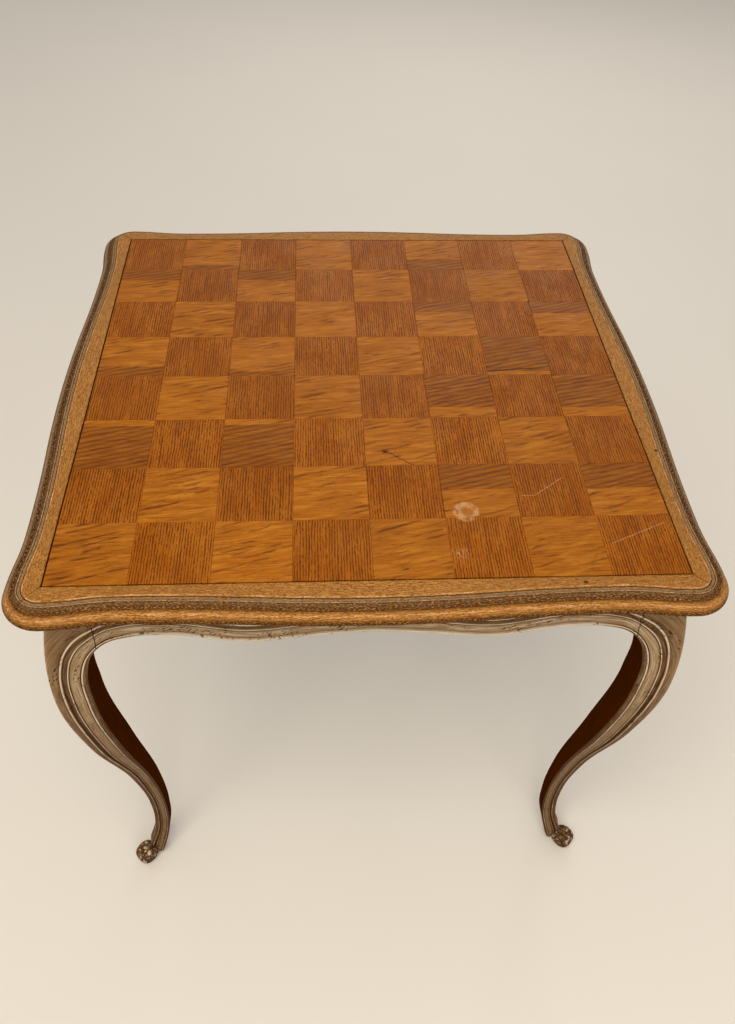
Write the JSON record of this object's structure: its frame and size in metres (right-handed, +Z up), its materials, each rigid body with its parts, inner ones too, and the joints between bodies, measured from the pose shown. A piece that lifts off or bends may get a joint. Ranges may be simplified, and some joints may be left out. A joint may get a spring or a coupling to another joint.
{
  "type": "games table",
  "caption": "Square games table with a loose chequered board in a moulded serpentine frame, on scroll-toed cabriole legs joined by shaped aprons.",
  "frame": {"origin": "on the floor, midway between the four feet", "axes": "+Z up, -Y the front side, +X to the right of a player who sits at the front"},
  "size_m": [0.799, 0.799, 0.74],
  "materials": {
    "oak_rail": "waxed, worn oak with darkened mouldings",
    "painted_oak": "grey-beige limed paint rubbed back on the beads",
    "beech_block": "unfinished, darkened with age",
    "steel_screw": "dull",
    "birch_plywood": "unfinished",
    "oak_lipping": "satin varnish",
    "green_baize": "napped",
    "brown_oak": "satin varnish over open grain",
    "golden_oak": "satin varnish over figured grain"
  },
  "bodies": {
    "table": {"mitre_splines": "birch_plywood", "top_rail_front": "oak_rail", "top_rail_right": "oak_rail", "top_rail_back": "oak_rail", "top_rail_left": "oak_rail", "leg_front_left": "painted_oak", "leg_front_right": "painted_oak", "leg_back_right": "painted_oak", "leg_back_left": "painted_oak", "apron_front": "painted_oak", "apron_right": "painted_oak", "apron_back": "painted_oak", "apron_left": "painted_oak", "corner_brace_front_left": "beech_block", "corner_brace_front_right": "beech_block", "corner_brace_back_right": "beech_block", "corner_brace_back_left": "beech_block", "brace_screws": "steel_screw", "top_screws": "steel_screw"},
    "board": {"board_core": "birch_plywood", "board_lipping_front": "oak_lipping", "board_lipping_right": "oak_lipping", "board_lipping_back": "oak_lipping", "board_lipping_left": "oak_lipping", "board_baize": "green_baize", "dark_squares_rank_1": "brown_oak", "light_squares_rank_1": "golden_oak", "dark_squares_rank_2": "brown_oak", "light_squares_rank_2": "golden_oak", "dark_squares_rank_3": "brown_oak", "light_squares_rank_3": "golden_oak", "dark_squares_rank_4": "brown_oak", "light_squares_rank_4": "golden_oak", "dark_squares_rank_5": "brown_oak", "light_squares_rank_5": "golden_oak", "dark_squares_rank_6": "brown_oak", "light_squares_rank_6": "golden_oak", "dark_squares_rank_7": "brown_oak", "light_squares_rank_7": "golden_oak", "dark_squares_rank_8": "brown_oak", "light_squares_rank_8": "golden_oak"}
  },
  "joints": [
    {"name": "board_lift", "type": "slide", "parent": "table", "child": "board", "axis": [0, 0, 1], "range_m": [0, 0.08]}
  ]
}
